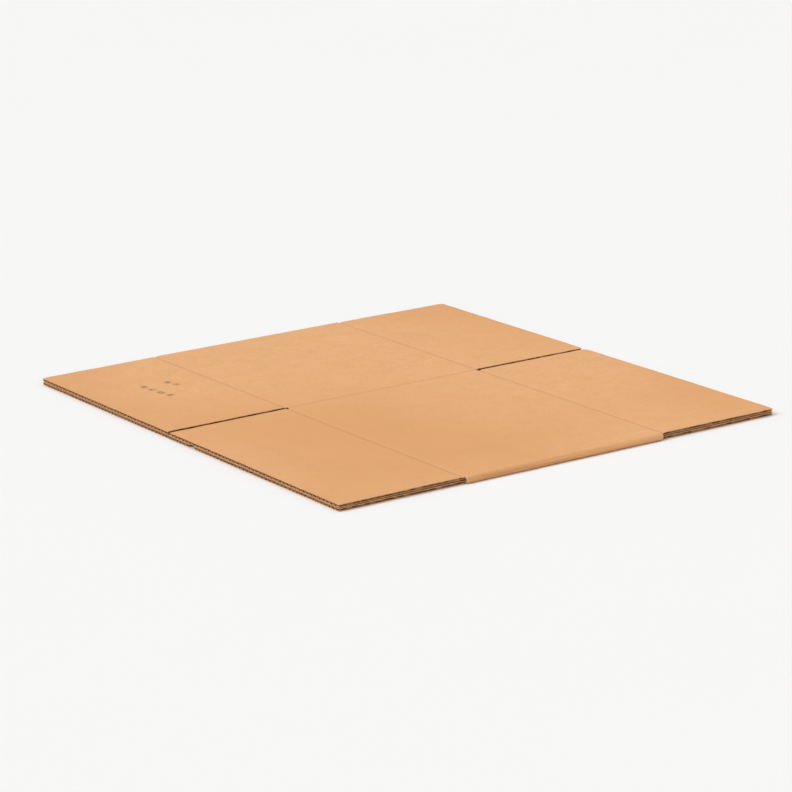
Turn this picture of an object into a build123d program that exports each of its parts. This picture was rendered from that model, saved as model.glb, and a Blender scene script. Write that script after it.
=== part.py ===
from build123d import *
import math
import os

# A slotted corrugated shipping box, folded flat as it leaves the maker.
# Millimetres. X runs across the panels, Y along the flutes, Z up.
# The origin is the middle of the footprint, on the surface that the box lies on.

# Panels and flaps
long_panel = 360.0
short_panel = 310.0
body_height = 264.0
flap_length = 155.0

# Corrugated board
board = 3.7
liner = 0.28
medium = 0.23
flute_pitch = 7.9
flank_angle = 52.0

# Slots between the flaps
plain_slot = 6.0
joint_slot = 9.5
fold_slot = 8.0
slot_overrun = 2.0

# Creases and folds
score_width = 6.0
score_outside = 0.9
score_inside = 0.5
crease_width = 5.0
crease_outside = 0.7
crease_inside = 0.4
fold_wall = 1.3

# Glued joint
tab_width = 35.0
tab_thickness = 0.8
tab_clearance = 0.1
tab_corner = 12.0
joint_gap = 2.5
joint_root = 1.2

# Places that follow from the sizes above
layer_gap = tab_thickness + tab_clearance
half_length = (long_panel + short_panel) / 2
half_body = body_height / 2
half_width = half_body + flap_length
thickness = 2 * board + layer_gap
fold_radius = thickness / 2
sheet_edge = half_length - fold_radius
flap_edge = half_length - fold_slot / 2
slot_end = half_body - slot_overrun
plain_crease = short_panel - half_length
joint_crease = half_length - short_panel
upper_layer = board + layer_gap


def flute_void():
    """One channel of the flute: flat on the liner, straight flanks, a round crown."""
    flank = math.radians(flank_angle)
    base = flute_pitch / 4 + (board / 2 - liner) / math.tan(flank) - medium / 2 / math.sin(flank)
    apex = liner + base * math.tan(flank)
    crown = board - liner - medium
    radius = (apex - crown) / (1 / math.cos(flank) - 1)
    corner = make_face(Polyline((-base, liner), (0, apex), (base, liner), close=True))
    return fillet(corner.vertices().sort_by(Axis.Y)[-1], radius)


def board_section(start, end, crease=None):
    """Liners and flute across the board from start to end, closed up at a crease."""
    below = flute_void()
    above = Pos(0, board) * Rot(0, 0, 180) * below
    outline = Polyline((start, 0), (end, 0), (end, board), (start, board), close=True)
    voids = []
    count = int(half_length / flute_pitch) + 1
    for step in range(-2 * count, 2 * count + 1):
        centre = step * flute_pitch / 2
        inside = start + flute_pitch / 2 < centre < end - flute_pitch / 2
        crushed = crease is not None and abs(centre - crease) < (crease_width + flute_pitch) / 2
        if inside and not crushed:
            shape = below if step % 2 == 0 else above
            voids.append((Pos(centre, 0) * shape).face().outer_wire())
    return Face(Wire(outline.edges()), voids)


def along_flutes(section, start, end, height=0.0):
    """Run a section drawn in X and Z along Y, from start to end."""
    plane = Plane(origin=(0, start, height), x_dir=(1, 0, 0), z_dir=(0, -1, 0))
    return extrude(plane * section, amount=-(end - start))


def groove(width, depth):
    """A round-bottomed groove of this width and depth, centred on its surface."""
    radius = (width ** 2 / 4 + depth ** 2) / (2 * depth)
    return Pos(0, radius - depth) * Circle(radius)


def body_panels(outside_up):
    """The board between the two flap scores, with its crease or its joint."""
    run = half_body - score_width / 2
    if outside_up:
        section = board_section(-sheet_edge, sheet_edge, plain_crease)
        pressed = section - Pos(plain_crease, board) * groove(crease_width, crease_outside)
        pressed -= Pos(plain_crease, 0) * Rot(0, 0, 180) * groove(crease_width, crease_inside)
        return along_flutes(pressed, -run, run, upper_layer)
    short_side = along_flutes(board_section(joint_crease, sheet_edge), -run, run)
    long_side = along_flutes(board_section(-sheet_edge, joint_crease - joint_gap), -run, run)
    return [short_side, long_side]


def score_band(start, end, outside_up):
    """The board pressed solid along a flap score, grooved on both faces."""
    upper, lower = (score_outside, score_inside) if outside_up else (score_inside, score_outside)
    band = Pos(0, board / 2) * Rectangle(score_width, board)
    band -= Pos(0, board) * groove(score_width, upper)
    band -= Rot(0, 0, 180) * groove(score_width, lower)
    plane = Plane(origin=(start, half_body, 0), x_dir=(0, 1, 0), z_dir=(1, 0, 0))
    return extrude(plane * band, amount=end - start)


def flap(start, end):
    """One flap, cut along the flutes at its sides and across them at its free end."""
    root = half_body + score_width / 2
    section = board_section(start - flute_pitch, end + flute_pitch)
    trim = Pos((start + end) / 2, board / 2) * Rectangle(end - start, board)
    return along_flutes(section & trim, root, half_width)


def flap_side(outside_up):
    """The score and the two flaps at one end of a layer."""
    crease, slot = (plain_crease, plain_slot) if outside_up else (joint_crease, joint_slot)
    pieces = []
    for start, end in ((-flap_edge, crease - slot / 2), (crease + slot / 2, flap_edge)):
        pieces.append(flap(start, end))
        pieces.append(score_band(start, end, outside_up))
    neck = score_band(-sheet_edge, sheet_edge, outside_up)
    keep = Pos(0, slot_end - half_body, board / 2) * Box(3 * half_length, 2 * half_body, 3 * board)
    if not outside_up:
        keep -= Pos(joint_crease - joint_gap / 2, 0, 0) * Box(joint_gap, 3 * half_body, 9 * board)
    pieces.append(neck & keep)
    return pieces


def layer(outside_up):
    """One layer of the folded box: two panels and their four flaps."""
    height = upper_layer if outside_up else 0
    side = [Pos(0, 0, height) * piece for piece in flap_side(outside_up)]
    other = [mirror(piece, about=Plane.XZ) for piece in side]
    panels = body_panels(outside_up)
    panels = [panels] if outside_up else panels
    return panels + side + other


def fold():
    """The board bent back on itself, pressed thin, between the flap slots."""
    ring = Circle(fold_radius) - Circle(fold_radius - fold_wall)
    half = ring & Pos(fold_radius, 0) * Rectangle(2 * fold_radius, 2 * fold_radius)
    return along_flutes(Pos(sheet_edge, fold_radius) * half, -slot_end, slot_end)


def glue_tab():
    """The pressed tab of the short panel, glued inside the edge of the long one."""
    root = joint_crease + joint_root
    tip = joint_crease - tab_width
    run = slot_end
    corner = run - tab_corner
    plan = make_face(Polyline((root, -run), (root, run), (tip, corner), (tip, -corner), close=True))
    tab = Pos(0, 0, board) * extrude(plan, amount=tab_thickness)
    bend = Box(joint_gap / 2 + joint_root, 2 * run, joint_root + tab_thickness,
               align=(Align.MAX, Align.CENTER, Align.MIN))
    return [tab, Pos(root, 0, board - joint_root) * bend]


pieces = layer(True) + layer(False) + glue_tab()
pieces += [fold(), mirror(fold(), about=Plane.YZ)]
flattened_box = Part() + pieces

os.makedirs("parts", exist_ok=True)
export_step(flattened_box, "parts/flattened_box.step")
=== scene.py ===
import bpy
import math
import numpy as np
from mathutils import Matrix, Vector


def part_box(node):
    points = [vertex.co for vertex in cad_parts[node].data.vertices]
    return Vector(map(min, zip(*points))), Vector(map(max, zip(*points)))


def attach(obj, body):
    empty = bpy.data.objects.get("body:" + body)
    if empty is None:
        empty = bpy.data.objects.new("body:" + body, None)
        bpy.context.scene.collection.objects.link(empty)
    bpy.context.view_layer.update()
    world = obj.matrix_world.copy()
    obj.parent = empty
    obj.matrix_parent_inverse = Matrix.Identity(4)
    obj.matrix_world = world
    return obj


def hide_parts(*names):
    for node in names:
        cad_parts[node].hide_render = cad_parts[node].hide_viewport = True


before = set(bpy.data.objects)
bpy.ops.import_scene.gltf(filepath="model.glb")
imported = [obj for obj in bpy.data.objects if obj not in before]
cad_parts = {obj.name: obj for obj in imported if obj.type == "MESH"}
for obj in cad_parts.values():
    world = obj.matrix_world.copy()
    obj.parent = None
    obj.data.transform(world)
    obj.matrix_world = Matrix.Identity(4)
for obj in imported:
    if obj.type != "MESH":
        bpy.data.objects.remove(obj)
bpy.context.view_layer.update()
node = "flattened_box"
nodeLow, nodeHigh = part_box(node)
mm = 0.001
print("frame loaded", [round(side / mm, 1) for side in nodeHigh - nodeLow])

# How the board is made, and how the box is cut and creased, in millimetres
box = {
    "halfLength": nodeHigh.x / mm,
    "halfWidth": nodeHigh.y / mm,
    "thickness": nodeHigh.z / mm,
    "flapLength": 155.0,
    "shortPanel": 310.0,
    "board": 3.7,
    "liner": 0.28,
    "medium": 0.23,
    "flutePitch": 7.9,
    "flankAngle": 52.0,
    "plainSlot": 6.0,
    "jointSlot": 9.5,
    "slotOverrun": 2.0,
    "jointGap": 2.5,
    "foldWall": 1.3,        # the board where it is pressed round the fold
    "foldAngles": 25,       # points of the path round one fold
    "foldSteps": 17,        # lines of the mesh round one fold
    "swellFrom": 0.9,       # between these angles off its middle, in radians, a fold swells to full board
    "swellTo": 1.57,
    "slotBlend": 1.0,       # a slot's end counts as a cut side over this length
}
foldRadius = box["thickness"] / 2
sheetEdge = box["halfLength"] - foldRadius
halfBody = box["halfWidth"] - box["flapLength"]
slotEnd = halfBody - box["slotOverrun"]
plainX = box["shortPanel"] - box["halfLength"]
jointX = box["halfLength"] - box["shortPanel"]

# What making and handling did to the board, in millimetres
wear = {
    "scoreOutside": 0.85,   # groove on the outer side of a flap score
    "scoreInside": 0.45,
    "scoreReach": 3.4,
    "creaseOutside": 0.6,   # groove of the panel crease
    "creaseInside": 0.35,
    "creaseReach": 2.7,
    "washboard": 0.07,      # the liner dips between the flute tips
    "leastDip": 0.45,       # the weakest dip, as a share of the deepest
    "sideCrush": 0.95,      # flap sides, pressed by the slotting knives
    "sideReach": 2.6,
    "sideStretch": 3,       # their unevenness is this much finer across the edge
    "sideMix": (0.6, 0.55),
    "sideShares": (0.45, 0.6),      # what the outside and the inside of the board take of it
    "endCrush": 0.35,       # flute ends at the free edge of a flap
    "endReach": 4.0,
    "endShares": (0.6, 0.4),
    "cornerCrush": 0.9,
    "cornerReach": 5.0,
    "cornerShares": (0.5, 0.4),
    "leastCorner": 0.3,
    "flapSag": 0.62,        # an upper flap settles on the lower one
    "flapShares": ((0.95, 0.6), (0.65, 1.0)),    # long panel's flaps, then the short one's
    "leastSag": 0.6,
    "upperFrom": 0.25,      # heights, as shares of the thickness, over which the sag sets in
    "upperTo": 0.75,
    "edgeWander": 0.4,      # how far a cut edge strays inwards
    "edgeReach": 5.0,
    "edgeMix": (0.35, 0.65),
    "foldWander": 0.35,
    "foldGroove": 0.32,     # the crease line left along the middle of each fold
    "foldGrooveReach": 1.6,
    "leastGroove": 0.35,
    "bentReach": 0.75,      # the fold band either side of a fold's middle, in fold lengths: painted shade, a painted highlight and rubbing
    "rimReach": 2.4,        # how far the rubbed rim of a cut edge shows
    "seed": 14,
    "seedStep": 100,
}
uneven = {    # smooth noises: size in millimetres, and seed
    "sideFine": (7, 1),
    "sideCoarse": (23, 2),
    "end": (19, 3),
    "fold": (46, 4),
    "sag": (160, 5),
    "edgeFine": (5, 6),
    "edgeCoarse": (60, 7),
    "dip": (90, 8),
    "corner": (200, 9),
    "groove": (70, 10),
    "waves": 7,             # sine waves added up for one noise, between these shares of its size
    "shortest": 0.7,
    "longest": 2.2,
}


def wander(a, b, size, seed):    # smooth noise from 0 to 1, the same on every run
    rng = np.random.default_rng(wear["seed"] * wear["seedStep"] + seed)
    total = np.zeros(np.broadcast(a, b).shape)
    for _ in range(uneven["waves"]):
        turn = rng.uniform(0, math.tau)
        start = rng.uniform(0, math.tau)
        length = size * rng.uniform(uneven["shortest"], uneven["longest"])
        total = total + np.sin((a * math.cos(turn) + b * math.sin(turn)) * math.tau / length + start)
    return np.clip(0.5 + total / uneven["waves"], 0, 1)


def atLeast(least, share):    # the share squeezed into the range from least to 1
    return least + (1 - least) * share


def smooth(value, low, high):
    share = np.clip((value - low) / (high - low), 0, 1)
    return share * share * (3 - 2 * share)


def hump(distance, reach):    # 1 at no distance, falling evenly to 0 at reach
    return 0.5 + 0.5 * np.cos(np.clip(np.abs(distance) / reach, 0, 1) * math.pi)


# The path of the board round the folded box, from its glued crease to its free edge
def boardPath():
    angles = np.radians(np.linspace(-90, 90, box["foldAngles"]))
    swell = smooth(np.abs(angles), box["swellFrom"], box["swellTo"])
    wall = box["foldWall"] + (box["board"] - box["foldWall"]) * swell
    inner = foldRadius - wall
    foldLength = math.pi * (foldRadius - box["foldWall"] / 2)
    runs = {"short": sheetEdge - jointX, "upper": 2 * sheetEdge,
            "long": sheetEdge + jointX - box["jointGap"]}
    upperStart = runs["short"] + foldLength
    longStart = upperStart + runs["upper"] + foldLength
    ends = longStart + runs["long"]
    turn = np.linspace(0, foldLength, len(angles))
    u = np.concatenate([[0], runs["short"] + turn, upperStart + runs["upper"] + turn, [ends]])

    def line(radius, flat):
        x = np.concatenate([[jointX], sheetEdge + radius * np.cos(angles),
                            -sheetEdge - radius * np.cos(angles), [jointX - box["jointGap"]]])
        z = np.concatenate([[flat], foldRadius + radius * np.sin(angles),
                            foldRadius - radius * np.sin(angles), [flat]])
        return x, z

    outX, outZ = line(foldRadius, 0)
    inX, inZ = line(inner, box["board"])
    return {"u": u, "outX": outX, "outZ": outZ, "inX": inX, "inZ": inZ, "upperStart": upperStart,
            "longStart": longStart, "runs": runs, "ends": ends}


path = boardPath()
uPlain = path["upperStart"] + sheetEdge - plainX
uEnds = path["ends"]
slots = [    # what the flap zones lose, along the path
    (0.0, box["jointSlot"] / 2),
    (path["runs"]["short"], path["upperStart"]),
    (uPlain - box["plainSlot"] / 2, uPlain + box["plainSlot"] / 2),
    (path["upperStart"] + path["runs"]["upper"], path["longStart"]),
    (uEnds - box["jointSlot"] / 2 + box["jointGap"], uEnds),
]
rawSides = [edge for slot in slots for edge in slot if 0 < edge < uEnds]


def cutDistance(u, y):    # from the nearest flap side, whether there is one, and from the free edge
    side = np.min([np.abs(u - edge) for edge in rawSides], axis=0)
    beside = smooth(np.abs(y), slotEnd - box["slotBlend"], slotEnd + box["slotBlend"])
    return side, beside, box["halfWidth"] - np.abs(y)


def foldDistance(u):    # along the path, from the middle of the nearest fold
    return np.min([np.abs(u - (low + high) / 2) for low, high in (slots[1], slots[3])], axis=0)


def boardFaces(u, y):    # outside and inside of the board, at u along the path and y along the flutes
    u, y = np.broadcast_arrays(u, y)
    out = np.stack([np.interp(u, path["u"], path["outX"]), y, np.interp(u, path["u"], path["outZ"])], -1)
    ins = np.stack([np.interp(u, path["u"], path["inX"]), y, np.interp(u, path["u"], path["inZ"])], -1)
    across = out - ins
    deep = np.linalg.norm(across, axis=-1)
    across = across / deep[..., None]
    room = deep / box["board"]
    x = out[..., 0]
    side, beside, end = cutDistance(u, y)
    # scores, the panel crease and the dips between the flute tips
    score = hump(np.abs(y) - halfBody, wear["scoreReach"])
    crease = hump(u - uPlain, wear["creaseReach"]) * (1 - beside)
    dip = wear["washboard"] * (0.5 - 0.5 * np.cos(u / box["flutePitch"] * math.tau)) * (1 - score)
    dip = dip * atLeast(wear["leastDip"], wander(u, y, *uneven["dip"]))
    pressOut = (score * wear["scoreOutside"] + crease * wear["creaseOutside"] + dip) * room
    pressIn = (score * wear["scoreInside"] + crease * wear["creaseInside"]) * room
    # flap sides, flute ends and corners
    fine = wander(y, u * wear["sideStretch"], *uneven["sideFine"]) * wear["sideMix"][0]
    coarse = wander(y, u * wear["sideStretch"], *uneven["sideCoarse"]) * wear["sideMix"][1]
    bite = wear["sideCrush"] * (fine + coarse) * np.exp(-side / wear["sideReach"]) * beside
    endBite = wear["endCrush"] * wander(x, 0, *uneven["end"]) * np.exp(-end / wear["endReach"])
    corner = wear["cornerCrush"] * np.exp(-(side + end) / wear["cornerReach"]) * beside
    corner = corner * atLeast(wear["leastCorner"], wander(u, y, *uneven["corner"]))
    shares = zip(wear["sideShares"], wear["endShares"], wear["cornerShares"])
    bites = [(ofSide * bite + ofEnd * endBite + ofCorner * corner) * room
             for ofSide, ofEnd, ofCorner in shares]
    pressOut = pressOut + bites[0]
    pressIn = pressIn + bites[1]
    # folds aren't quite straight
    bend = np.clip((box["board"] - deep) / (box["board"] - box["foldWall"]), 0, 1)
    pressOut = pressOut + bend * wear["foldWander"] * wander(y, u, *uneven["fold"])
    groove = hump(foldDistance(u), wear["foldGrooveReach"]) * wear["foldGroove"]
    pressOut = pressOut + groove * bend * atLeast(wear["leastGroove"], wander(y, 0, *uneven["groove"]))
    out = out - across * pressOut[..., None]
    ins = ins + across * pressIn[..., None]
    # the upper flaps settle, each by its own amount, and cut edges stray inwards
    lift = (out[..., 2] + ins[..., 2]) / 2 / box["thickness"]
    free = smooth(np.abs(y), halfBody, box["halfWidth"])
    flapShare = np.array(wear["flapShares"])[(u >= uPlain).astype(int), (y >= 0).astype(int)]
    sag = wear["flapSag"] * free * flapShare * atLeast(wear["leastSag"], wander(x, y, *uneven["sag"]))
    sag = sag * smooth(lift, wear["upperFrom"], wear["upperTo"])
    drift = wander(x, 0, *uneven["edgeFine"]) * wear["edgeMix"][0]
    drift = drift + wander(x, 0, *uneven["edgeCoarse"]) * wear["edgeMix"][1]
    drift = wear["edgeWander"] * drift * (1 - smooth(end, 0, wear["edgeReach"])) + corner
    for face in (out, ins):
        face[..., 2] -= sag
        face[..., 1] -= np.sign(y) * drift
    return out, ins


def surfaceMarks(u, y):    # what the kraft reads: flute tips, rims, bent board and flap corners
    u, y = np.broadcast_arrays(u, y)
    side, beside, end = cutDistance(u, y)
    rim = np.maximum(np.exp(-side / wear["rimReach"]) * beside, np.exp(-end / wear["rimReach"]))
    bent = hump(foldDistance(u), (slots[1][1] - slots[1][0]) * wear["bentReach"]) * (1 - beside)
    corner = np.exp(-(side + end) / wear["cornerReach"]) * beside
    foldEnd = bent * np.exp(-np.abs(slotEnd - np.abs(y)) / wear["rimReach"])
    corner = np.maximum(corner, foldEnd)
    tip = 0.5 + 0.5 * np.cos(u / box["flutePitch"] * math.tau)
    return {"tip": tip, "rim": rim, "bent": bent, "corner": corner}


def gridLines(marks, step):    # the marks and even steps between them
    slack = 0.01    # lets a run that is a hair over a whole number of steps keep that number
    marks = sorted(set(round(float(m), 4) for m in marks))
    lines = [marks[0]]
    for low, high in zip(marks, marks[1:]):
        count = max(1, math.ceil((high - low) / step - slack))
        lines += [low + (high - low) * (k + 1) / count for k in range(count)]
    return np.array(lines)


def bothWays(values):
    return [-v for v in values] + list(values)


def keptCells(u, y, margin=0.0):    # which cells of the sheet are left after slotting
    touch = 0.001    # cells that only touch a slot stay
    keep = np.ones((len(u) - 1, len(y) - 1), bool)
    flapRows = np.abs(y[:-1] + y[1:]) / 2 > slotEnd
    for low, high in slots:
        cut = (u[1:] > low - margin + touch) & (u[:-1] < high + margin - touch)
        keep[np.ix_(cut, flapRows)] = False
    return keep


def unitAcross(out, ins):
    return (out - ins) / np.linalg.norm(out - ins, axis=-1, keepdims=True)


def closedSheet(front, back, keep):    # a thin closed skin: front, back and a rim round every edge
    rows, cols = front.shape[:2]
    points = np.concatenate([front.reshape(-1, 3), back.reshape(-1, 3)])
    index = np.arange(rows * cols).reshape(rows, cols)
    under = index + rows * cols
    i, j = np.nonzero(keep)
    a, b, c, d = index[i, j], index[i + 1, j], index[i + 1, j + 1], index[i, j + 1]
    e, f, g, h = under[i, j], under[i + 1, j], under[i + 1, j + 1], under[i, j + 1]
    quads = [np.stack([d, c, b, a], 1), np.stack([e, f, g, h], 1)]
    padded = np.pad(keep, 1)
    rims = []
    for (di, dj), p, q, r, s in (((-1, 0), e, h, d, a), ((1, 0), g, f, b, c),
                                 ((0, -1), f, e, a, b), ((0, 1), h, g, c, d)):
        bare = ~padded[i + 1 + di, j + 1 + dj]
        rims.append(np.stack([p[bare], q[bare], r[bare], s[bare]], 1))
    quads.append(np.concatenate(rims))
    kinds = np.concatenate([np.full(len(part), kind) for kind, part in enumerate(quads)])
    return points, np.concatenate(quads), kinds


# A sheet is its front, its back, the cells kept, the materials of front, back and rim, and its marks
def paperObject(name, sheets, materials):
    points, faces, materialIndex, flat, start = [], [], [], [], 0
    marks = {key: [] for key in sheets[0][-1]}
    for front, back, keep, looks, sheetMarks in sheets:
        sheetPoints, quads, kinds = closedSheet(front, back, keep)
        used, quads = np.unique(quads, return_inverse=True)
        points.append(sheetPoints[used])
        faces.append(quads.reshape(-1, 4) + start)
        materialIndex.append(np.array(looks)[kinds])
        flat.append(kinds == 2)
        for key, value in sheetMarks.items():
            marks[key].append(np.tile(value.reshape(-1), 2)[used])
        start += len(used)
    points, faces = np.concatenate(points) * mm, np.concatenate(faces)
    mesh = bpy.data.meshes.new(name)
    mesh.from_pydata(points.tolist(), [], faces.tolist())
    mesh.polygons.foreach_set("material_index", np.concatenate(materialIndex).astype(np.int32))
    mesh.polygons.foreach_set("use_smooth", ~np.concatenate(flat))
    for key, values in marks.items():
        mesh.attributes.new(key, "FLOAT", "POINT").data.foreach_set("value", np.concatenate(values))
    for material in materials:
        mesh.materials.append(material)
    mesh.update()
    piece = bpy.data.objects.new(name, mesh)
    bpy.context.scene.collection.objects.link(piece)
    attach(piece, "root")
    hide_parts(node)
    print("made", name, len(mesh.polygons) * 2, "triangles")


# Small helpers for node trees
def newGroup(name, inputs, outputs):
    group = bpy.data.node_groups.new(name, "ShaderNodeTree")
    for label, kind, value in inputs:
        group.interface.new_socket(label, in_out="INPUT", socket_type=kind).default_value = value
    for label, kind in outputs:
        group.interface.new_socket(label, in_out="OUTPUT", socket_type=kind)
    return group, group.nodes.new("NodeGroupInput").outputs, group.nodes.new("NodeGroupOutput").inputs


def plug(tree, source, socket):    # link a socket, or set a plain value
    if hasattr(source, "is_linked"):
        tree.links.new(source, socket)
    else:
        socket.default_value = source


def addNode(tree, kind, inputs=(), **settings):
    new = tree.nodes.new(kind)
    for key, value in settings.items():
        setattr(new, key, value)
    for label, source in dict(inputs).items():
        plug(tree, source, new.inputs[label])
    return new


def mathNode(tree, operation, a, b=0.0, c=0.0):
    return addNode(tree, "ShaderNodeMath", {0: a, 1: b, 2: c}, operation=operation).outputs[0]


def times(tree, a, b):
    return mathNode(tree, "MULTIPLY", a, b)


def rampNode(tree, source, low, high, toLow=0.0, toHigh=1.0):
    inputs = {"Value": source, "From Min": low, "From Max": high, "To Min": toLow, "To Max": toHigh}
    return addNode(tree, "ShaderNodeMapRange", inputs, interpolation_type="SMOOTHSTEP").outputs["Result"]


def stretch(tree, vector, scale):
    return addNode(tree, "ShaderNodeMapping", {"Vector": vector, "Scale": scale}).outputs["Vector"]


def noiseNode(tree, vector, scale, detail, rough):    # a scale of three numbers stretches the noise
    if isinstance(scale, tuple):
        vector = stretch(tree, vector, scale)
        scale = 1.0
    inputs = {"Vector": vector, "Scale": scale, "Detail": detail, "Roughness": rough}
    return addNode(tree, "ShaderNodeTexNoise", inputs).outputs["Fac"]


# Noise whose values from low to high fade from one amount to the other. Each noise in the
# dictionaries below gives its scale, detail and roughness, then that low and high
def patches(tree, vector, noise, least=0.0, most=1.0):
    scale, detail, rough, low, high = noise
    return rampNode(tree, noiseNode(tree, vector, scale, detail, rough), low, high, least, most)


def mixColour(tree, factor, a, b):
    new = addNode(tree, "ShaderNodeMix", data_type="RGBA")
    for source, socket in ((factor, new.inputs[0]), (a, new.inputs[6]), (b, new.inputs[7])):
        plug(tree, source, socket)
    return new.outputs[2]


def markNode(tree, name):    # a mark kept on the mesh: tip, rim, bent or corner
    return addNode(tree, "ShaderNodeAttribute", attribute_name=name).outputs["Fac"]


# Fibres of the paper, which run across the flutes, with grain and a few dark shives
fibres = {
    "cloud": (60, 5, 0.62),    # scale, detail and roughness of each noise
    "cloudShare": 0.20,
    "strand": ((150, 1050, 800), 6, 0.68),
    "strandShare": 0.42,
    "strandRelief": 0.6,
    "grain": (2100, 3, 0.7),
    "grainShare": 0.38,
    "grainRelief": 0.4,
    "fleck": ((190, 360, 290), 0.72, 0.17),    # scale, rarity and size of the specks
    "fleckShare": 0.6,
    "shive": ((26, 60, 48), 0.60, 0.036),
    "spotBend": 0.0016,     # bends the outline of each speck
    "spotBendScale": 900,
}


def spotMask(group, place, scale, rarity, size):
    bend = addNode(group, "ShaderNodeTexNoise", {"Vector": place, "Scale": fibres["spotBendScale"]})
    bend = addNode(group, "ShaderNodeVectorMath", {0: bend.outputs["Color"]}, operation="SCALE")
    bend.inputs["Scale"].default_value = fibres["spotBend"]
    bent = addNode(group, "ShaderNodeVectorMath", {0: place, 1: bend.outputs[0]}).outputs[0]
    cells = addNode(group, "ShaderNodeTexVoronoi", {"Vector": stretch(group, bent, scale), "Scale": 1.0})
    luck = addNode(group, "ShaderNodeSeparateColor", {"Color": cells.outputs["Color"]}).outputs[0]
    radius = rampNode(group, luck, rarity, 1.0, 0.0, size)
    return mathNode(group, "LESS_THAN", cells.outputs["Distance"], radius)


def fibreGroup():
    inputs = [("Vector", "NodeSocketVector", (0, 0, 0)), ("Coarseness", "NodeSocketFloat", 1.0),
              ("Fleck Amount", "NodeSocketFloat", 0.5)]
    outputs = [("Tone", "NodeSocketFloat"), ("Fleck", "NodeSocketFloat"), ("Height", "NodeSocketFloat")]
    group, given, result = newGroup("paperFibres", inputs, outputs)
    scaled = addNode(group, "ShaderNodeVectorMath", {0: given["Vector"]}, operation="SCALE")
    plug(group, given["Coarseness"], scaled.inputs["Scale"])
    place = scaled.outputs[0]
    cloud = noiseNode(group, place, *fibres["cloud"])
    strand = noiseNode(group, place, *fibres["strand"])
    grain = noiseNode(group, place, *fibres["grain"])
    tone = times(group, cloud, fibres["cloudShare"])
    tone = mathNode(group, "MULTIPLY_ADD", strand, fibres["strandShare"], tone)
    tone = mathNode(group, "MULTIPLY_ADD", grain, fibres["grainShare"], tone)
    fleck = spotMask(group, place, *fibres["fleck"])
    shive = spotMask(group, place, *fibres["shive"])
    spots = mathNode(group, "MULTIPLY_ADD", fleck, fibres["fleckShare"], shive)
    spots = times(group, mathNode(group, "MINIMUM", spots, 1.0), given["Fleck Amount"])
    relief = times(group, grain, fibres["grainRelief"])
    relief = mathNode(group, "MULTIPLY_ADD", strand, fibres["strandRelief"], relief)
    plug(group, tone, result["Tone"])
    plug(group, spots, result["Fleck"])
    plug(group, relief, result["Height"])
    return group


# Handling: soft smudges, and thin scuffs along the sheet
handling = {
    "smudge": (11, 6, 0.66, 0.52, 0.78),
    "scuff": ((26, 190, 60), 5, 0.7, 0.62, 0.82),
}


def handlingGroup():
    inputs = [("Vector", "NodeSocketVector", (0, 0, 0)), ("Amount", "NodeSocketFloat", 1.0)]
    outputs = [("Smudge", "NodeSocketFloat"), ("Scuff", "NodeSocketFloat")]
    group, given, result = newGroup("handling", inputs, outputs)
    smudge = patches(group, given["Vector"], handling["smudge"])
    scuff = patches(group, given["Vector"], handling["scuff"])
    plug(group, times(group, smudge, given["Amount"]), result["Smudge"])
    plug(group, times(group, scuff, given["Amount"]), result["Scuff"])
    return group


# Closeness to a line of the box: 1 on the line, fading to 0 at Reach
def nearLineGroup():
    inputs = [("Value", "NodeSocketFloat", 0.0), ("Line", "NodeSocketFloat", 0.0),
              ("Reach", "NodeSocketFloat", 0.004)]
    group, given, result = newGroup("nearLine", inputs, [("Mask", "NodeSocketFloat")])
    gap = mathNode(group, "ABSOLUTE", mathNode(group, "SUBTRACT", given["Value"], given["Line"]))
    share = mathNode(group, "DIVIDE", gap, given["Reach"])
    plug(group, rampNode(group, share, 0.0, 1.0, 1.0, 0.0), result["Mask"])
    return group


groups = {"fibres": fibreGroup(), "handling": handlingGroup(), "nearLine": nearLineGroup()}


def useGroup(tree, key, inputs=()):
    return addNode(tree, "ShaderNodeGroup", node_tree=groups[key], inputs=inputs).outputs


def nearLine(tree, value, line, reach):
    return useGroup(tree, "nearLine", {"Value": value, "Line": line, "Reach": reach})["Mask"]


def newMaterial(name):
    material = bpy.data.materials.new(name)
    material.use_nodes = True
    tree = material.node_tree
    place = addNode(tree, "ShaderNodeTexCoord").outputs["Object"]
    return material, tree, tree.nodes["Principled BSDF"], place


def finishMaterial(tree, shader, colour, roughness, height, relief, specular):
    bumpStrength = 0.9
    bump = addNode(tree, "ShaderNodeBump", {"Height": height, "Distance": relief, "Strength": bumpStrength})
    plug(tree, colour, shader.inputs["Base Color"])
    plug(tree, roughness, shader.inputs["Roughness"])
    plug(tree, bump.outputs["Normal"], shader.inputs["Normal"])
    shader.inputs["Specular IOR Level"].default_value = specular
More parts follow.
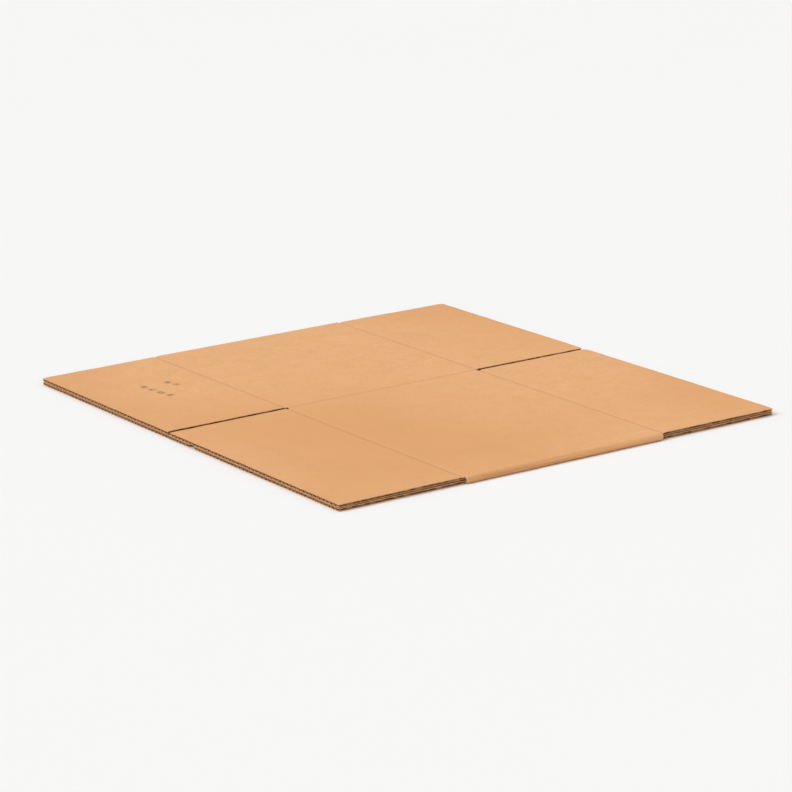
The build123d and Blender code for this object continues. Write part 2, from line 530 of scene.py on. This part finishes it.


# The outer liner: smooth, pale kraft with large warm patches that are partly a painted reflection, burnished
# where it was pressed, with painted shade and a painted highlight at folds, rubbed at folds and rims
kraftLook = {
    "pale": (0.795, 0.440, 0.208, 1),
    "deep": (0.700, 0.364, 0.158, 1),
    "warmToneAndReflection": (0.700, 0.345, 0.140, 1),
    "fleck": (0.290, 0.145, 0.062, 1),
    # also the burnish of pressed lines, and the painted shade in the fine fold creases
    "smudge": (0.520, 0.262, 0.115, 1),
    "scuff": (0.840, 0.520, 0.285, 1),
    "rim": (0.560, 0.300, 0.150, 1),
    "ink": (0.170, 0.112, 0.070, 1),
    "toneRange": (0.38, 0.62),
    "flecks": 0.75,
    # large soft warm patches: partly tone that varies, partly a painted warm reflection placed by the shift
    "reflectionShift": (-0.9, 1.7, 0.9),
    "toneAndReflectionPatches": (2.6, 2, 0.5, 0.35, 0.70),
    "toneAndReflectionShare": 0.85,
    "tipTone": (0.600, 0.300, 0.126, 1),
    "tipShare": 0.15,
    "tipPatches": (16, 4, 0.6, 0.35, 0.65),
    "leastTip": 0.3,
    "dirt": 0.18,
    "scoreReach": 0.0042,
    "creaseReach": 0.0034,
    "pressedShare": 0.40,
    "pressedGloss": -0.12,
    "rimFade": 2.0,
    "rimPatches": (160, 4, 0.6, 0.35, 0.6),
    "rimShare": 0.65,
    "cornerRange": (0.40, 0.60),
    "leastCorner": 0.25,
    "cornerShare": 0.55,
    # a darker warm tone over the fold band: painted shade
    "foldShadeTone": (0.650, 0.288, 0.104, 1),
    # pale streaks on the fold: partly rubbed kraft, partly a painted highlight
    "foldRubAndHighlight": (0.860, 0.500, 0.245, 1),
    "foldShadeShare": 0.50,
    "foldStreaks": ((330, 5, 330), 3, 0.55, 0.48, 0.62),
    "foldHighlightShare": 0.40,
    # fine crease lines along the fold: a bump, with their darkness as painted shade
    "foldCreases": ((520, 7, 620), 4, 0.6, 0.52, 0.64),
    "foldCreaseShade": 0.50,
    "foldRelief": -1.2,
    "roughRange": (0.3, 0.7, 0.86, 0.72),
    "relief": 0.00008,
    "specular": 0.28,
}
stamp = {    # small stamped marks on one flap: plain worn bars, in metres
    "x": -0.221,
    "y": -0.213,
    "height": 0.0068,
    "endFade": 0.3,
    "sideFade": (0.25, 0.6),
    "worn": (420, 4, 0.7, 0.36, 0.58),
    "faintest": 0.08,
    "strongest": 0.72,
    "bars": [(0.000, 0.015, 0.0000), (0.018, 0.013, 0.0016), (0.034, 0.016, 0.0030),
             (0.053, 0.012, 0.0062), (0.000, 0.013, 0.0320), (0.016, 0.011, 0.0350)],
}


def stampMask(tree, axes, place):
    total = 0.0
    for start, length, rise in stamp["bars"]:
        middle = stamp["x"] + start + length / 2
        inX = nearLine(tree, axes["X"], middle, length / 2)
        inY = nearLine(tree, axes["Y"], stamp["y"] + rise, stamp["height"])
        bar = times(tree, rampNode(tree, inX, 0.0, stamp["endFade"]), rampNode(tree, inY, *stamp["sideFade"]))
        total = mathNode(tree, "MAXIMUM", bar, total)
    return times(tree, total, patches(tree, place, stamp["worn"], stamp["faintest"], stamp["strongest"]))


def kraftMaterial(name, look):
    material, tree, shader, place = newMaterial(name)
    axes = addNode(tree, "ShaderNodeSeparateXYZ", {"Vector": place}).outputs
    fibre = useGroup(tree, "fibres", {"Vector": place, "Fleck Amount": look["flecks"]})
    colour = mixColour(tree, rampNode(tree, fibre["Tone"], *look["toneRange"]), look["deep"], look["pale"])
    # large warm patches: partly tone that varies, partly a painted warm reflection
    shifted = addNode(tree, "ShaderNodeMapping", {"Vector": place, "Location": look["reflectionShift"]})
    toneAndReflectionPatches = patches(tree, shifted.outputs["Vector"], look["toneAndReflectionPatches"], 0.0, look["toneAndReflectionShare"])
    colour = mixColour(tree, toneAndReflectionPatches, colour, look["warmToneAndReflection"])
    tip = times(tree, markNode(tree, "tip"), patches(tree, place, look["tipPatches"], look["leastTip"]))
    colour = mixColour(tree, times(tree, tip, look["tipShare"]), colour, look["tipTone"])
    marks = useGroup(tree, "handling", {"Vector": place, "Amount": look["dirt"]})
    colour = mixColour(tree, marks["Smudge"], colour, look["smudge"])
    colour = mixColour(tree, marks["Scuff"], colour, look["scuff"])
    colour = mixColour(tree, fibre["Fleck"], colour, look["fleck"])
    # the scores and the panel crease
    fromMiddle = mathNode(tree, "ABSOLUTE", axes["Y"])
    score = nearLine(tree, fromMiddle, halfBody * mm, look["scoreReach"])
    crease = nearLine(tree, axes["X"], plainX * mm, look["creaseReach"])
    inBody = mathNode(tree, "LESS_THAN", fromMiddle, slotEnd * mm)
    above = mathNode(tree, "GREATER_THAN", axes["Z"], foldRadius * mm)
    crease = times(tree, times(tree, crease, inBody), above)
    pressed = mathNode(tree, "MAXIMUM", score, crease)
    colour = mixColour(tree, times(tree, pressed, look["pressedShare"]), colour, look["smudge"])
    # folds: a darker warm tone as painted shade, pale streaks that are partly rubbing and partly a painted
    # highlight, and fine dark creases whose darkness is painted shade
    bent = markNode(tree, "bent")
    colour = mixColour(tree, times(tree, bent, look["foldShadeShare"]), colour, look["foldShadeTone"])
    streaks = times(tree, patches(tree, place, look["foldStreaks"], 0.0, look["foldHighlightShare"]), bent)
    colour = mixColour(tree, streaks, colour, look["foldRubAndHighlight"])
    folds = times(tree, patches(tree, place, look["foldCreases"]), bent)
    colour = mixColour(tree, times(tree, folds, look["foldCreaseShade"]), colour, look["smudge"])
    # cut rims rubbed darker, corners scuffed pale
    rim = mathNode(tree, "POWER", markNode(tree, "rim"), look["rimFade"])
    rubbed = times(tree, rim, patches(tree, place, look["rimPatches"], 0.0, look["rimShare"]))
    colour = mixColour(tree, rubbed, colour, look["rim"])
    patchy = rampNode(tree, fibre["Tone"], *look["cornerRange"], look["leastCorner"], 1.0)
    corner = times(tree, times(tree, markNode(tree, "corner"), patchy), look["cornerShare"])
    colour = mixColour(tree, corner, colour, look["scuff"])
    colour = mixColour(tree, times(tree, stampMask(tree, axes, place), above), colour, look["ink"])
    rough = rampNode(tree, fibre["Tone"], *look["roughRange"])
    rough = mathNode(tree, "MULTIPLY_ADD", pressed, look["pressedGloss"], rough)
    height = mathNode(tree, "MULTIPLY_ADD", folds, look["foldRelief"], fibre["Height"])
    finishMaterial(tree, shader, colour, rough, height, look["relief"], look["specular"])
    return material


# The inner liner, the fluting, cut edges and torn paper differ only in their values
paperLooks = {
    "innerLiner": {
        "pale": (0.640, 0.360, 0.180, 1), "deep": (0.500, 0.265, 0.122, 1), "mark": (0.260, 0.135, 0.062, 1),
        "coarseness": 1.0, "flecks": 0.6, "toneRange": (0.38, 0.62), "patch": (1, 1, 1), "dirt": 0.3,
        "relief": 0.0001},
    "fluting": {
        "pale": (0.520, 0.280, 0.138, 1), "deep": (0.350, 0.172, 0.078, 1), "mark": (0.170, 0.083, 0.040, 1),
        "coarseness": 1.6, "flecks": 0.5, "toneRange": (0.38, 0.62), "patch": (3, 3, 3), "dirt": 0.5,
        "relief": 0.00012},
    "cutEdge": {
        "pale": (0.800, 0.490, 0.265, 1), "deep": (0.510, 0.260, 0.120, 1), "mark": (0.200, 0.105, 0.052, 1),
        "coarseness": 2.2, "flecks": 0.4, "toneRange": (0.38, 0.60), "patch": (6, 9, 9), "dirt": 0.5,
        "relief": 0.00012},
    "tornPaper": {
        "pale": (0.640, 0.315, 0.135, 1), "deep": (0.330, 0.132, 0.048, 1), "mark": (0.075, 0.056, 0.038, 1),
        "coarseness": 2.2, "flecks": 0.6, "toneRange": (0.42, 0.58), "patch": (4, 3.4, 10), "dirt": 1.0,
        "relief": 0.0003},
}
paperGloss = {"roughRange": (0.3, 0.7, 0.95, 0.82), "specular": 0.2}    # the same for all four


def paperMaterial(name, look):
    material, tree, shader, place = newMaterial(name)
    fibre = useGroup(tree, "fibres", {"Vector": place, "Coarseness": look["coarseness"],
                                      "Fleck Amount": look["flecks"]})
    colour = mixColour(tree, rampNode(tree, fibre["Tone"], *look["toneRange"]), look["deep"], look["pale"])
    stretched = stretch(tree, place, look["patch"])
    marks = useGroup(tree, "handling", {"Vector": stretched, "Amount": look["dirt"]})
    spots = mathNode(tree, "MAXIMUM", marks["Smudge"], fibre["Fleck"])
    colour = mixColour(tree, spots, colour, look["mark"])
    rough = rampNode(tree, fibre["Tone"], *paperGloss["roughRange"])
    finishMaterial(tree, shader, colour, rough, fibre["Height"], look["relief"], paperGloss["specular"])
    return material


kraftLiner = kraftMaterial("kraftLiner", kraftLook)
papers = {key: paperMaterial(key, look) for key, look in paperLooks.items()}
print("materials made", len(papers) + 1)

# The outer and inner liners
linerSheets = {
    "tipStep": 3.95,        # the outer liner follows each flute tip and dip
    "tipSlack": 1.3,        # a gap wider than this many tip steps gets more lines
    "tipClear": 0.25,       # a tip nearer than this to another line, in steps, gets none
    "outerAlong": 7.0,
    "outerBody": 22.0,
    "innerAcross": 12.0,
    "innerAlong": 7.2,
    "innerBody": 30.0,
    "nearSide": (0, 0.5, 1.6, 4.0),
    "nearEnd": (0, 0.4, 1.5, 5.0),
    "nearScore": (-5, -3.2, -2, -1, 0, 1.2, 3.2, 5),
    "nearCrease": (-2.7, -1.3, 0, 1.3, 2.7),
    "burr": 0.8,            # a cut liner's lip is this much thicker
    "burrReach": 0.8,
    "endBurr": 0.5,         # the share of that at a flap's free edge
}


def sheetLines(step, alongStep, bodyStep, tips=0.0):
    marks = [0, uEnds] + [uPlain + away for away in linerSheets["nearCrease"]]
    for edge in rawSides:
        marks += [edge + away for away in bothWays(linerSheets["nearSide"])]
    for low, high in (slots[1], slots[3]):
        marks += list(np.linspace(low, high, box["foldSteps"]))
    if tips:
        fixed = np.array(marks)
        every = np.arange(0, uEnds, tips)
        marks += [tip for tip in every if np.abs(fixed - tip).min() > tips * linerSheets["tipClear"]]
    marks = [mark for mark in marks if 0 <= mark <= uEnds]
    ends = [box["halfWidth"] - away for away in linerSheets["nearEnd"]]
    scores = [halfBody + away for away in linerSheets["nearScore"]]
    along = list(gridLines(ends + scores, alongStep)) + list(gridLines([min(scores), 0], bodyStep))
    return gridLines(marks, step), np.unique(np.round(bothWays(along), 4))


def linerThickness(u, y):
    side, beside, end = cutDistance(*np.broadcast_arrays(u, y))
    lip = np.maximum(np.exp(-side / linerSheets["burrReach"]) * beside,
                     linerSheets["endBurr"] * np.exp(-end / linerSheets["burrReach"]))
    return (box["liner"] * (1 + linerSheets["burr"] * lip))[..., None]


def outerLiner():
    tips = linerSheets["tipStep"]
    across = tips * linerSheets["tipSlack"]
    u, y = sheetLines(across, linerSheets["outerAlong"], linerSheets["outerBody"], tips)
    uGrid, yGrid = u[:, None], y[None, :]
    out, ins = boardFaces(uGrid, yGrid)
    back = out - unitAcross(out, ins) * linerThickness(uGrid, yGrid)
    return out, back, keptCells(u, y), (0, 1, 2), surfaceMarks(uGrid, yGrid)


def innerLiner():
    u, y = sheetLines(linerSheets["innerAcross"], linerSheets["innerAlong"], linerSheets["innerBody"])
    uGrid, yGrid = u[:, None], y[None, :]
    out, ins = boardFaces(uGrid, yGrid)
    front = ins + unitAcross(out, ins) * linerThickness(uGrid, yGrid)
    return front, ins, keptCells(u, y), (0, 0, 1), {}


# The fluting between them, one wave sheet round the whole box
waveSheet = {
    "arcAngles": (-52, -26, 0, 26, 52),
    "ends": (0, 0.7, 5, 22, 80),
    "scores": (-4, -1.5, 0, 1.5, 4),
    "inset": 0.4,
    "slotMargin": 1.3,
    "skew": 0.0035,         # the flutes aren't quite square to the cut
    "endShift": 0.35,       # each flute end leans and falls short by its own amount
    "endRecess": 0.5,
    "leastRecess": 0.1,
    "endReach": 4.0,
}


def fluting():
    half = box["flutePitch"] / 2
    wall = box["medium"] / 2
    rise = (box["board"] - 2 * box["liner"] - box["medium"]) / 2    # half height of the wave
    flank = math.radians(box["flankAngle"])
    # the tip radius at which round tips and straight flanks meet
    tip = (half / 2 * math.tan(flank) - rise) / (math.sin(flank) * math.tan(flank) - (1 - math.cos(flank)))
    columns = []
    for number in range(int(uEnds / half) + 1):
        sign = 1 if number % 2 == 0 else -1
        for angle in np.radians(waveSheet["arcAngles"]):
            height = rise + sign * (rise - tip * (1 - math.cos(angle)))
            place = number * half + tip * math.sin(angle)
            columns.append((place, height, sign * math.sin(angle), math.cos(angle)))
    columns = np.array(columns)
    inside = (columns[:, 0] > waveSheet["inset"]) & (columns[:, 0] < uEnds - waveSheet["inset"])
    along, heights, sideways, upward = columns[inside].T
    ends = [box["halfWidth"] - away for away in waveSheet["ends"]]
    y = np.unique(np.round(bothWays(ends + [halfBody + away for away in waveSheet["scores"]] + [0]), 4))
    rng = np.random.default_rng(wear["seed"])
    flute = (along / half).astype(int)
    farSide = (y > 0).astype(int)
    atEnd = np.exp(-(box["halfWidth"] - np.abs(y)) / waveSheet["endReach"])[None, :]
    lean = rng.uniform(-1, 1, (flute.max() + 1, 2))[flute][:, farSide] * waveSheet["endShift"]
    lean = lean * atEnd * (heights / rise - 1)[:, None]
    shorten = rng.uniform(waveSheet["leastRecess"], 1, (flute.max() + 1, 2))[flute][:, farSide]
    shorten = shorten * waveSheet["endRecess"] * atEnd * np.sign(y)[None, :]
    surfaces = []
    for way in (wall, -wall):
        u = (along + way * sideways)[:, None] + lean + y[None, :] * waveSheet["skew"]
        out, ins = boardFaces(u, y[None, :])
        depth = np.linalg.norm(out - ins, axis=-1) - 2 * box["liner"]
        share = ((heights + wall + way * upward) / (2 * rise + 2 * wall))[:, None]
        point = ins + unitAcross(out, ins) * (box["liner"] + depth * share)[..., None]
        point[..., 1] -= shorten
        surfaces.append(point)
    return surfaces[0], surfaces[1], keptCells(along, y, waveSheet["slotMargin"]), (0, 0, 1), {}


# Flute walls torn open along the flap sides
tornSides = {
    "step": 0.7,
    "rows": 8,
    "clear": 0.02,          # share of the board's depth left at each liner
    "nearest": 0.25,        # how near the cut the torn wall comes
    "deepest": 2.6,
    "bulge": 0.5,           # how far the wall leans out or in at half its height
    "bulgeLess": 0.35,
    "gaps": 0.40,           # share of the side where the open flute shows
    "fray": 0.9,            # raggedness of the torn outline, along the side and in height
    "rowFray": 0.16,
    "crumb": 3,             # a cell with fewer cells round it falls off
    "fromScore": 4.0,
    "fromEnd": 1.0,
    "seed": 20,
}
tornNoises = {    # size in millimetres, seed, how much the height counts, and share
    "hollows": (13, 0, 9, 0.65),
    "pits": (4.5, 40, 14, 0.45),
    "bulges": (30, 80, 0, 1),
    "gaps": (11, 120, 6, 0.75),
    "holes": (3.5, 240, 20, 0.25),
    "outline": (3.1, 160, 30, 1),
    "rows": (2.3, 200, 22, 1),
}


def neighbours(keep, rows, cols):    # the same cells seen one step away
    padded = np.pad(keep, 1)
    return padded[1 + rows:padded.shape[0] - 1 + rows, 1 + cols:padded.shape[1] - 1 + cols]


def stillAttached(keep):    # torn bits that hang on one of the liners, without crumbs or point contacts
    around = sum(neighbours(keep, r, c).astype(int) for r in (-1, 0, 1) for c in (-1, 0, 1))
    keep = keep & (around > tornSides["crumb"])
    held = keep.copy()
    held[1:-1] = False
    while True:
        grown = held.copy()
        grown[1:] |= held[:-1]
        grown[:-1] |= held[1:]
        grown[:, 1:] |= held[:, :-1]
        grown[:, :-1] |= held[:, 1:]
        grown &= keep
        if (grown == held).all():
            break
        held = grown
    while True:
        slanted = (neighbours(held, 1, 0) & neighbours(held, 0, 1) & ~neighbours(held, 1, 1)) | \
                  (neighbours(held, 1, 0) & neighbours(held, 0, -1) & ~neighbours(held, 1, -1))
        filled = held | slanted
        if (filled == held).all():
            return held
        held = filled


def tornNoise(key, y, height, seed):
    size, seedStep, rise, share = tornNoises[key]
    return wander(y, height * rise, size, seed + seedStep) * share


def tornStrips():
    sheets = []
    along = gridLines([halfBody + tornSides["fromScore"], box["halfWidth"] - tornSides["fromEnd"]],
                      tornSides["step"])
    height = np.linspace(tornSides["clear"], 1 - tornSides["clear"], tornSides["rows"])[:, None]
    reach = tornSides["deepest"] - tornSides["nearest"]
    for number, edge in enumerate(rawSides):
        inwards = 1 if edge in [slot[1] for slot in slots] else -1
        for end in (-1, 1):
            y = along[None, :] * end
            seed = tornSides["seed"] + number * 2 + (end > 0)
            depth = tornNoise("hollows", y, height, seed) + tornNoise("pits", y, height, seed)
            bulge = tornNoise("bulges", y, height, seed) - tornSides["bulgeLess"]
            bulge = np.sin(height * math.pi) * bulge * tornSides["bulge"]
            depth = tornSides["nearest"] + reach * np.clip(depth - bulge, 0, 1)
            frayed = y + tornSides["fray"] * (tornNoise("outline", y, height, seed) - 0.5)
            inner = (height > height.min()) & (height < height.max())
            rowShift = tornSides["rowFray"] * (tornNoise("rows", y, height, seed) - 0.5)
            raised = height + np.where(inner, rowShift, 0)
            surfaces = []
            for back in (0.0, box["medium"]):
                out, ins = boardFaces(edge + inwards * (depth + back), frayed)
                room = np.linalg.norm(out - ins, axis=-1) - 2 * box["liner"]
                surfaces.append(ins + unitAcross(out, ins) * (box["liner"] + room * raised)[..., None])
            middle = (y[:, :-1] + y[:, 1:]) / 2
            paper = tornNoise("gaps", middle, height[:-1], seed)
            paper = paper + tornNoise("holes", middle, height[:-1], seed)
            front, back = surfaces if inwards * end > 0 else surfaces[::-1]
            sheets.append((front, back, stillAttached(paper > tornSides["gaps"]), (0, 0, 0), {}))
    return sheets


# The tab of the short panel, pressed flat and glued inside the long one
glueTab = {
    "width": 35.0,
    "corner": 12.0,
    "thickness": 0.67,
    "root": 1.2,
    "rootDrop": 1.2,        # how far it bends down to the short panel, between the next two places
    "dropFrom": -2.0,
    "dropTo": 1.0,
    "shortOfSlot": 1.0,     # it ends this far inside the slots
    "ripple": 0.06,
    "lift": 0.01,
    "step": 6.0,
    "alongSteps": 41,
}


def glueTabSheet():
    x = gridLines([jointX - glueTab["width"], jointX, jointX + glueTab["root"]], glueTab["step"])
    share = np.linspace(-1, 1, glueTab["alongSteps"])
    taper = np.clip((jointX - x) / glueTab["width"], 0, 1) * glueTab["corner"]
    y = (slotEnd - glueTab["shortOfSlot"] - taper)[:, None] * share[None, :]
    flat = np.broadcast_to(x[:, None], y.shape)
    ripple = glueTab["ripple"] * np.cos(flat / box["flutePitch"] * math.tau)
    low = np.stack([flat, y, np.full(y.shape, box["board"] + glueTab["lift"])], -1)
    high = np.stack([flat, y, box["board"] + glueTab["thickness"] + ripple], -1)
    low[..., 2] -= smooth(flat - jointX, glueTab["dropFrom"], glueTab["dropTo"]) * glueTab["rootDrop"]
    return low, high, np.ones((len(x) - 1, len(share) - 1), bool), (0, 0, 1), {}


paperObject("outer_liner", [outerLiner()], [kraftLiner, papers["innerLiner"], papers["cutEdge"]])
paperObject("fluting", [fluting()], [papers["fluting"], papers["cutEdge"]])
paperObject("inner_liner", [innerLiner(), glueTabSheet()], [papers["innerLiner"], papers["cutEdge"]])
paperObject("torn_flute_edges", tornStrips(), [papers["tornPaper"]])

# Floor, light and camera
stage = {
    "floorSize": 160.0,
    "floorDrop": 0.0001,
    "floorColour": (0.87, 0.87, 0.865, 1),
    "floorShade": (0.84, 0.84, 0.83, 1),
    "floorClouds": (3, 2, 0.5, 0.3, 0.7),
    "floorShadeShare": 0.06,
    "floorRoughness": 0.9,
    "worldColour": (1.0, 0.995, 0.985, 1),
    "worldStrength": 0.42,
    "backdropStrength": 0.93,    # how bright the backdrop itself looks beyond the floor
    "lights": [    # name, strength, softness in degrees, and where the light comes from
        ("keyLight", 1.75, 34.0, (-0.7, -3.2, 2.7)),
        ("topLight", 0.75, 60.0, (-1.0, 0.6, 3.5)),
        ("fillLight", 0.55, 60.0, (3.0, -0.6, 1.6)),
    ],
}


def makeFloor():
    half = stage["floorSize"] / 2
    mesh = bpy.data.meshes.new("floor")
    corners = [(-half, -half, 0), (half, -half, 0), (half, half, 0), (-half, half, 0)]
    mesh.from_pydata(corners, [], [(0, 1, 2, 3)])
    material, tree, shader, place = newMaterial("floorPaint")
    shade = patches(tree, place, stage["floorClouds"], 0.0, stage["floorShadeShare"])
    plug(tree, mixColour(tree, shade, stage["floorColour"], stage["floorShade"]), shader.inputs["Base Color"])
    shader.inputs["Roughness"].default_value = stage["floorRoughness"]
    mesh.materials.append(material)
    floor = bpy.data.objects.new("floor", mesh)
    floor.location.z = -stage["floorDrop"]
    bpy.context.scene.collection.objects.link(floor)


def softLight(name, strength, softness, location):
    data = bpy.data.lights.new(name, "SUN")
    data.energy = strength
    data.angle = math.radians(softness)
    lamp = bpy.data.objects.new(name, data)
    lamp.location = location
    lamp.rotation_euler = (-Vector(location)).to_track_quat("-Z", "Y").to_euler()
    bpy.context.scene.collection.objects.link(lamp)


def makeLight():
    world = bpy.data.worlds.new("studio")
    world.use_nodes = True
    background = world.node_tree.nodes["Background"]
    background.inputs["Color"].default_value = stage["worldColour"]
    seen = addNode(world.node_tree, "ShaderNodeLightPath").outputs["Is Camera Ray"]
    strength = rampNode(world.node_tree, seen, 0.0, 1.0, stage["worldStrength"], stage["backdropStrength"])
    plug(world.node_tree, strength, background.inputs["Strength"])
    bpy.context.scene.world = world
    bpy.context.scene.view_settings.view_transform = "Standard"
    for lamp in stage["lights"]:
        softLight(*lamp)


view = {
    "azimuth": 57.3,
    "elevation": 15.1,
    "distance": 3.78,
    "roll": -2.0,
    "lens": 149.0,
    "sensor": 36.0,
    "aim": (0.0, 0.0, 0.004),
    "clipEnd": 50.0,
}


def makeCamera():
    a, e = math.radians(view["azimuth"]), math.radians(view["elevation"])
    back = Vector((math.sin(a) * math.cos(e), -math.cos(a) * math.cos(e), math.sin(e)))
    data = bpy.data.cameras.new("camera")
    data.lens = view["lens"]
    data.sensor_width = view["sensor"]
    data.clip_end = view["clipEnd"]
    camera = bpy.data.objects.new("camera", data)
    turn = (-back).to_track_quat("-Z", "Y").to_matrix().to_4x4()
    spin = Matrix.Rotation(math.radians(view["roll"]), 4, "Z")
    camera.matrix_world = Matrix.Translation(Vector(view["aim"]) + back * view["distance"]) @ turn @ spin
    bpy.context.scene.collection.objects.link(camera)
    bpy.context.scene.camera = camera


makeFloor()
makeLight()
makeCamera()
print("stage set")
